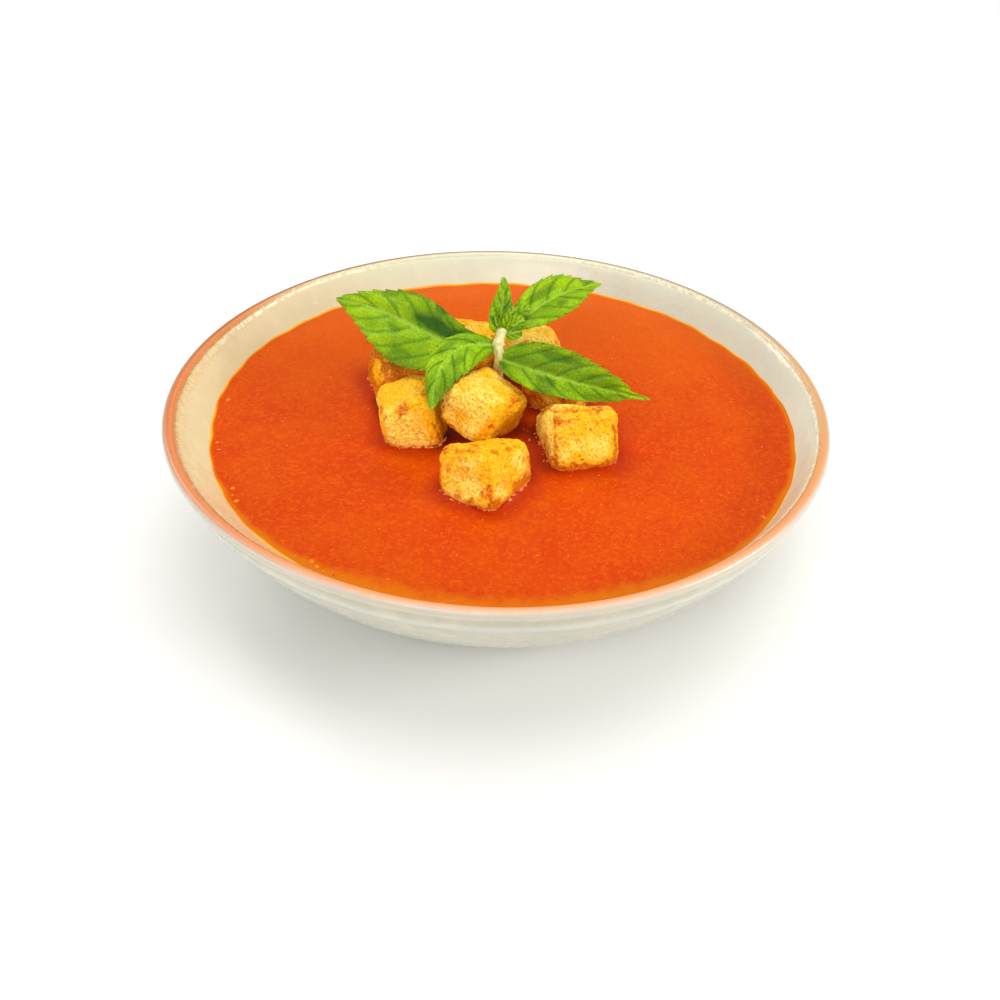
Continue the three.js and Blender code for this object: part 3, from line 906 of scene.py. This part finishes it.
random = np.random.default_rng(71)
away = STREWN_RADIUS * np.sqrt(random.uniform(0.0, 1, FLECKS))
heading = random.uniform(0, 2 * math.pi, FLECKS)
places = on_soup(away, heading, 0.02 * MM)
places = places[np.min([gap_to(crouton, places) for crouton in CROUTONS], axis=0) > AFLOAT_FROM]
fleck_sizes = random.uniform(0.12, 0.34, (len(places), 3)) * MM * [1.4, 0.8, 0.3]
flecks = scattered_lumps("pulp_flecks", places, fleck_sizes, 0.25, 72)
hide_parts("soup")
scrap = Finish("pulp_fleck", roughness=0.35, specular_ior_level=0.3)
tint = scrap.step(scrap.number("tint"), 0.35, 0.75)
scrap.colour = scrap.blend(tint, shade(190, 44, 4), shade(240, 132, 30))
scrap.layer(scrap.effect("grain", size=0.5 * MM, low=0.4, high=0.7, most=0.5), shade(226, 96, 14))
scrap.onto(flecks, base_color=scrap.colour)

heading = random.normal(math.radians(228), math.radians(38), DROPS)
drop_size = random.uniform(0.22, 0.8, DROPS) * MM
edge_radius = np.interp(np.mod(heading, 2 * math.pi), soup_angle, shore_radius)
away = edge_radius - random.uniform(1.4, 4.5, DROPS) * MM
places = on_soup(away, heading, 0.03 * MM)
drops = scattered_lumps("oil_drops", places, drop_size[:, None] * [1.15, 0.9, 0.12], 0.06, 73,
                        rows=6, around=12)
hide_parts("soup")
oil = Finish("orange_oil", roughness=0.15, specular_ior_level=0.25, coat_weight=0.1)
oil.colour = oil.blend(oil.number("tint"), shade(230, 116, 6), shade(240, 152, 20))
oil.layer(oil.effect("grain", size=0.8 * MM, low=0.4, high=0.7, most=0.4), shade(232, 96, 20))
oil.onto(drops, base_color=oil.colour)


# ---- Crumbs ----
# Crumbs knocked off the croutons: some stick to the cubes' waterlines, others float close by.
CRUMBS_EACH = 9
TOSSES = 400
STUCK_FROM = -0.1 * MM
AFLOAT_TO = 4 * MM
crumb_places = []
for crouton in CROUTONS:
    low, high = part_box(crouton[0])
    toss = random.uniform(-1, 1, (TOSSES, 2)) * (np.array(high - low)[:2] / 2 + 3 * MM)
    height = np.full(TOSSES, SOUP_LEVEL + 0.15 * MM)
    tries = np.column_stack([np.array(low + high)[:2] / 2 + toss, height])
    off = gap_to(crouton, tries)
    near = tries[(off > STUCK_FROM) & (off < AFLOAT_FROM)][:CRUMBS_EACH - 1]
    afloat = tries[(off > AFLOAT_FROM) & (off < AFLOAT_TO)][:1]
    crumb_places.append(np.concatenate([near, afloat]))
crumb_places = np.concatenate(crumb_places)
crumb_sizes = random.uniform(0.2, 0.5, (len(crumb_places), 3)) * MM
crumbs = scattered_lumps("loose_crumbs", crumb_places, crumb_sizes, 0.3, 74)
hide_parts("crouton_front")
crumb = Finish("crumb", roughness=0.5, specular_ior_level=0.35)
tint = crumb.step(crumb.number("tint"), 0.2, 0.9)
crumb.colour = crumb.blend(tint, shade(244, 176, 70), shade(206, 110, 24))
crumb.layer(crumb.effect("grain", size=0.5 * MM, low=0.4, high=0.7, most=0.4), shade(238, 128, 50))
crumb.onto(crumbs, base_color=crumb.colour)


# ---- Mint ----
# The top of a shoot of mint, pushed stem first between the croutons: five grown leaves with
# sawn edges and quilted blades on one squarish stem, and a tuft of unopened leaves at its tip.
LEAF_ROWS = 170
LEAF_COLUMNS = 45
BUD_ROWS = 60
BUD_COLUMNS = 21
BLADE_THICKNESS = 0.3 * MM
CREASE_HEIGHT = 0.75 * MM
# Parts of the blade's half width.
TOOTH_DEPTH = 0.06
QUILT_RISE = 0.05
MARGIN_WAVE = 0.07
RIB_GROOVE = 0.5 * MM
VEIN_GROOVE = 0.14 * MM
VEIN_HALF_WIDTH = 0.16 * MM
# Name, four points the rib is drawn by, the way the blade faces, half width to each side, how
# fast the blade widens and narrows, fold, teeth, vein pairs, the turn of the tip in degrees, and
# how much painted shade darkens each side and how far along.
LEAVES = (
    ("leaf_left", ((-1.6, 10.2, 58.8), (-25.8, 1.5, 61.8), (-26, 24, 61.8), (-54, 38.2, 57.8)),
     (-0.05, -0.8, 0.6), (13.1, 9.6), (1.05, 1.05), 0.12, 15, 6, 0, (0.0, 0.75, 0.7)),
    ("leaf_front", ((-1.6, 10.2, 58.8), (-16.2, 4.4, 64.6), (-19.7, -6.8, 62.1), (-20.5, -14.3, 50.5)),
     (-0.2, -0.7, 0.7), (7.7, 4.9), (0.73, 1.05), -0.1, 10, 5, 0, (0.0, 0.0, 1)),
    ("leaf_upright", ((-0.2, 14.4, 61.3), (-2, 14.8, 65.8), (1.1, 18.7, 70.8), (-0.4, 22.5, 75.8)),
     (0, -0.9, 0.43), (3.4, 3.4), (0.5, 1.15), 0.25, 8, 4, 0, (0.1, 0.4, 1)),
    ("leaf_back", ((0.4, 12.6, 61.3), (11.9, 25.8, 65.8), (18.4, 33.3, 66.8), (31.4, 44.4, 62.8)),
     (0.1, -0.6, 0.8), (6.6, 7.2), (1.1, 1.4), 0.2, 12, 5, 0, (0.0, 0.25, 1)),
    ("leaf_right", ((-0.5, 6.8, 56.3), (15.9, -5.5, 56.9), (26.3, -5.4, 54.8), (45.1, -4, 50)),
     (0.05, -0.75, 0.66), (9.0, 5.8), (0.52, 1.1), 0.15, 14, 6, 30, (0.5, 0.2, 1)),
)
BUDS = (
    ("bud_right", ((0.2, 13.8, 61.6), (2.4, 12.6, 63.4), (4.4, 12.8, 65.4), (6.4, 14.6, 66.2)),
     (0.1, -0.8, 0.6), (2.2, 2.1), (0.6, 0.6), 0.1, 7, 4, 0, (0.0, 0.3, 1)),
    ("bud_middle", ((0.2, 14.6, 61.8), (1.4, 13.4, 64.6), (2.4, 13.8, 67.4), (3.2, 15.6, 69.6)),
     (0.2, -0.9, 0.3), (1.7, 1.6), (0.5, 0.7), 0.25, 7, 4, 0, (0.0, 0.3, 1)),
    ("bud_left", ((-0.4, 14.2, 61.4), (-1.6, 13.2, 63), (-2.4, 13.4, 65), (-2.6, 14.8, 66.8)),
     (-0.3, -0.9, 0.3), (1.3, 1.3), (0.5, 0.7), 0.2, 6, 3, 0, (0.3, 0.0, 1)),
    ("bud_back", ((0.4, 15, 61.8), (3, 17.4, 64.4), (5.6, 19.4, 66), (8, 21.4, 66.4)),
     (0, -0.7, 0.7), (2, 1.9), (0.6, 0.6), 0.15, 7, 4, 0, (0.0, 0.3, 1)),
    ("bud_round", ((0.8, 12.8, 61.4), (2.4, 11.6, 62.4), (4.2, 11.2, 63.2), (6, 11.6, 63.4)),
     (0.1, -0.8, 0.6), (1.9, 1.9), (0.4, 0.45), -0.15, 6, 3, 0, (0.0, 0.0, 1)),
)


def rib_line(rib, along):
    """A cubic Bezier curve through its end points, and its direction."""
    p, t = np.array(rib) * MM, along[:, None]
    at = ((1 - t) ** 3 * p[0] + 3 * t * (1 - t) ** 2 * p[1]
          + 3 * t ** 2 * (1 - t) * p[2] + t ** 3 * p[3])
    way = ((1 - t) ** 2 * (p[1] - p[0]) + 2 * t * (1 - t) * (p[2] - p[1]) + t ** 2 * (p[3] - p[2]))
    return at, way / np.linalg.norm(way, axis=1, keepdims=True)


def blade(leaf, rows, columns, seed):
    """A closed thin leaf. Each row crosses the rib, reaches out by a power-law outline cut by
    saw teeth that lean to the tip, and rises by the fold, by squared-sine quilting between veins
    that sweep forward, and by a wavy margin. Gives points, faces and the vein numbers."""
    name, rib, face, widths, outline, fold, teeth, pairs, tip_turn, shaded = leaf
    along = np.linspace(0, 1, rows)
    at, way = rib_line(rib, along)
    side = np.cross(np.array(face), way)
    side /= np.linalg.norm(side, axis=1, keepdims=True)
    rise = np.cross(way, side)
    roll = np.radians(tip_turn) * ease(along, 0.35, 1.0)[:, None]
    side, rise = np.cos(roll) * side + np.sin(roll) * rise, np.cos(roll) * rise - np.sin(roll) * side
    length = np.linalg.norm(np.diff(at, axis=0), axis=1).sum()
    fullest = outline[0] / sum(outline)
    breadth = ((along / fullest) ** outline[0]
               * (np.maximum(1 - along, 0) / (1 - fullest)) ** outline[1])[:, None]
    breadth = breadth * (1 - min(tip_turn, 30) / 50 * ease(along, 0.8, 0.9)[:, None])
    across = np.sin(np.linspace(1, -1, columns) * 1.35)[None, :] / math.sin(1.35)
    u = along[:, None] * np.ones_like(across)
    width = np.where(across > 0, widths[0], widths[1]) * MM
    margin = np.abs(across)
    jitter = 0.35 * lattice_noise(np.stack([u * 9, u * 0, u * 0 + seed], axis=-1), 1.0, seed)
    tooth = np.mod(teeth * (u + 0.03 * jitter) + np.where(across > 0, 0.0, 0.45), 1)
    depth = TOOTH_DEPTH * ease(u, 0.1, 0.3) * (1 + 0.6 * jitter)
    cut = depth * (1 - tooth ** 1.3) * margin ** 5
    reach = across * (0.4 * MM + width * breadth * (1 - cut) * (1 + 0.05 * jitter))
    lean = 0.45 * length / teeth * tooth * margin ** 8 * ease(u, 0.04, 0.15) * (1 - ease(u, 0.93, 1))
    forward = 1.7 * width / length
    vein_at = (u - forward * margin ** 1.25 * np.sqrt(breadth.clip(0, 1)) - 0.04) * pairs
    vein_at = vein_at + np.where(across > 0, 0.0, 0.4)
    phase = vein_at - np.floor(vein_at + 0.5)
    spacing = length / pairs
    vein = np.exp(-(phase * spacing * 0.5 / VEIN_HALF_WIDTH) ** 2)
    vein *= ease(margin, 0.0, 0.05) * (1 - ease(margin, 0.8, 0.98)) * ease(u, 0.02, 0.1)
    midrib = np.exp(-(reach / ((0.75 - 0.4 * u) * MM)) ** 2)
    swell = np.sin(math.pi * phase) ** 2
    quilt = QUILT_RISE * width * breadth * swell ** 0.4 * ease(margin, 0.02, 0.35) * (1 - margin ** 4)
    quilt = quilt * (1 + 0.9 * jitter)
    flat = np.stack([reach, u * length, np.full_like(u, seed * MM)], axis=-1)
    stretched = np.stack([reach * 2.6, u * length, np.full_like(u, seed * MM)], axis=-1)
    wrinkle = lattice_noise(stretched, 8 * MM, seed + 3) * ease(margin, 0, 0.3)
    pucker = (CREASE_HEIGHT * wrinkle + 0.16 * MM * lattice_noise(flat, 2.1 * MM, seed + 1)
              + 0.09 * MM * lattice_noise(flat, 1 * MM, seed + 2))
    wavy = (MARGIN_WAVE * width * breadth * margin ** 3
            * np.sin(2 * math.pi * (2.2 * u + 0.13 * seed) + np.where(across > 0, 0, 2.2)))
    lift = (fold * np.abs(reach) + quilt + pucker * breadth + wavy
            - RIB_GROOVE * midrib * (1 - 0.6 * u) - VEIN_GROOVE * vein * breadth)
    middle = (at[:, None] + side[:, None] * reach[..., None] + rise[:, None] * lift[..., None]
              + way[:, None] * lean[..., None])
    thick = BLADE_THICKNESS * (1 - 0.8 * margin ** 6)
    thick_below = thick + (0.7 * MM * midrib * (1 - 0.75 * u) + 0.12 * MM * vein)
    upper = middle + rise[:, None] * (thick / 2)[..., None]
    lower = middle - rise[:, None] * (thick_below / 2)[..., None]
    loops = np.concatenate([upper, lower[:, -2:0:-1]], axis=1)
    ring = loops.shape[1]
    points = np.concatenate([loops.reshape(-1, 3), loops[:1].mean(axis=1), loops[-1:].mean(axis=1)])

    def looped(value):
        """The same value on the upper side and on the lower, in the order of the points."""
        value = value * np.ones_like(u)
        closed = np.concatenate([value, value[:, -2:0:-1]], axis=1).ravel()
        return np.append(closed, [value[0].mean(), value[-1].mean()])

    below = np.concatenate([np.zeros_like(u), np.ones_like(u)[:, -2:0:-1]], axis=1).ravel()
    # Painted shade: each side darkened by its own amount up to a point along the blade, and the troughs of
    # the wrinkles darkened too.
    painted_leaf_shade = np.where(across > 0, shaded[0], shaded[1]) * ease(margin, 0.02, 0.14)
    painted_leaf_shade = painted_leaf_shade * (1 - ease(u, shaded[2] - 0.25, shaded[2]))
    painted_leaf_shade = painted_leaf_shade * ease(breadth, 0.2, 0.5) * (1 - 0.65 * ease(margin + 0.35 * jitter, 0.3, 0.85))
    painted_leaf_shade = np.clip(painted_leaf_shade + 0.5 * ease(-wrinkle, 0.05, 0.6), 0, 1)
    numbers = {"painted_leaf_shade": looped(painted_leaf_shade), "vein": looped(vein), "midrib": looped(midrib ** 4),
               "crown": looped(swell * (1 - margin ** 4)), "below": np.append(below, [0, 0])}
    return points, closed_faces(rows, ring), numbers


leaf_pieces = []
for order, leaf in enumerate(LEAVES):
    points, faces, numbers = blade(leaf, LEAF_ROWS, LEAF_COLUMNS, 81 + order)
    leaf_pieces.append(build_piece("mint_" + leaf[0], points, faces, numbers))
for order, bud in enumerate(BUDS):
    points, faces, numbers = blade(bud, BUD_ROWS, BUD_COLUMNS, 91 + order)
    leaf_pieces.append(build_piece("mint_" + bud[0], points, faces, numbers))
for piece in leaf_pieces:
    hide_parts("mint_sprig")

LEAF_GREEN = shade(134, 178, 4)
LEAF_BRIGHT = shade(164, 206, 8)
LEAF_DARK = shade(86, 136, 6)
LEAF_SHADE = shade(48, 96, 8)
VEIN_GREEN = shade(176, 206, 84)
LEAF_UNDER = shade(150, 182, 84)
green = Finish("mint_leaf", subsurface_weight=0.2, subsurface_scale=1.2 * MM, roughness=0.32,
               specular_ior_level=0.12, coat_weight=0.04, coat_roughness=0.12)
cells = green.cloud(0.9 * MM, 3)
tufts = green.cloud(9 * MM, 3)
lit = green.step(tufts, 0.3, 0.65)
green.colour = green.blend(lit, LEAF_GREEN, LEAF_BRIGHT)
# Painted shade: darker green in the valleys between the quilted swells, next to the veins and at the
# margin.
green.layer(green.step(green.number("crown"), 0.0, 0.35, 0.4, 0), LEAF_DARK)
green.layer(green.step(cells, 0.45, 0.75, 0, 0.35), LEAF_DARK)
# Painted shade along a fine network of sunken veinlets, which the bump also sinks, showing in patches.
net = green.step(green.spots(1.2 * MM, "DISTANCE_TO_EDGE"), 0.0, 0.16, 1, 0)
net_shows = green.effect("grain", size=4 * MM, low=0.35, high=0.6, least=0.05, most=0.42)
green.layer(green.times(net, net_shows), LEAF_DARK)
crinkles = green.sum((cells, 1.0), (net, -0.5))
green.layer(green.number("painted_leaf_shade"), LEAF_SHADE)
# Painted shade in the sunken vein grooves, in patches.
green.layer(green.times(green.number("vein"), green.step(tufts, 0.3, 0.6, 0.45, 0.8)), LEAF_SHADE)
green.layer(green.times(green.number("midrib"), 0.6), VEIN_GREEN)
green.layer(green.times(green.number("below"), 0.7), LEAF_UNDER)
green.onto(*leaf_pieces, base_color=green.colour, normal=green.relief(crinkles, 0.22 * MM),
           roughness=green.step(green.number("crown"), 0, 1, 0.4, 0.28))

STEM_POINTS = ((-1.5, 12, 41), (-1, 10.4, 50), (-0.6, 7.6, 56), (-1.2, 10, 58.8), (-0.1, 14.2, 62.2))
STEM_THICK = 1.6 * MM
STEM_ROWS = 90
STEM_AROUND = 32


def tube(way_points, radius, around, squareness):
    """A closed tube along a Catmull-Rom curve, its section a circle pulled to four corners by
    the cosine of four times the angle, with the radius given for each row. Gives points, faces
    and how far up each point is."""
    rows = len(radius)
    p = np.array(way_points, float) * MM
    p = np.concatenate([[2 * p[0] - p[1]], p, [2 * p[-1] - p[-2]]])
    t = np.linspace(0, len(p) - 3 - 1e-6, rows)
    k = t.astype(int)
    f = (t - k)[:, None]
    a, b, c, d = p[k], p[k + 1], p[k + 2], p[k + 3]
    at = 0.5 * (2 * b + (c - a) * f + (2 * a - 5 * b + 4 * c - d) * f ** 2
                + (3 * b - a - 3 * c + d) * f ** 3)
    way = np.gradient(at, axis=0)
    way /= np.linalg.norm(way, axis=1, keepdims=True)
    side = np.cross(way, [0.9, 0.1, 0.2])
    side /= np.linalg.norm(side, axis=1, keepdims=True)
    front = np.cross(way, side)
    spin = np.linspace(0, 2 * math.pi, around, endpoint=False)
    size = radius[:, None] * (1 + squareness * np.cos(4 * spin))
    rings = (at[:, None] + side[:, None] * (size * np.cos(spin))[..., None]
             + front[:, None] * (size * np.sin(spin))[..., None])
    points = np.concatenate([rings.reshape(-1, 3), at[:1], at[-1:]])
    climbed = np.append(np.repeat(np.linspace(0, 1, rows), around), [0, 1])
    return points, closed_faces(rows, around), climbed


stem_along = np.linspace(0, 1, STEM_ROWS)
knots = np.exp(-((stem_along - 0.78) / 0.035) ** 2) + 0.8 * np.exp(-((stem_along - 0.97) / 0.03) ** 2)
stem_radius = STEM_THICK * (1 - 0.15 * stem_along) * (1 + 0.35 * knots)
points, faces, climbed = tube(STEM_POINTS, stem_radius, STEM_AROUND, squareness=0.09)
points += 0.05 * MM * lattice_noise(points, 1.2 * MM, 99)[:, None]
stem = build_piece("mint_stem", points, faces, {"climbed": climbed})
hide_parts("mint_sprig")
stalk = Finish("mint_stem", roughness=0.45, specular_ior_level=0.35)
climb = stalk.step(stalk.number("climbed"), 0.2, 0.9)
stalk.colour = stalk.blend(climb, shade(214, 206, 128), shade(236, 226, 162))
stalk.layer(stalk.effect("grain", size=1.6 * MM, low=0.45, high=0.7, most=0.6), shade(168, 166, 74))
stalk.onto(stem, base_color=stalk.colour, normal=stalk.relief(stalk.cloud(0.5 * MM), 0.1 * MM))

size = {"cad": [list(corner) for corner in cad_box],
        "visual": [list(corner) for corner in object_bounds()]}
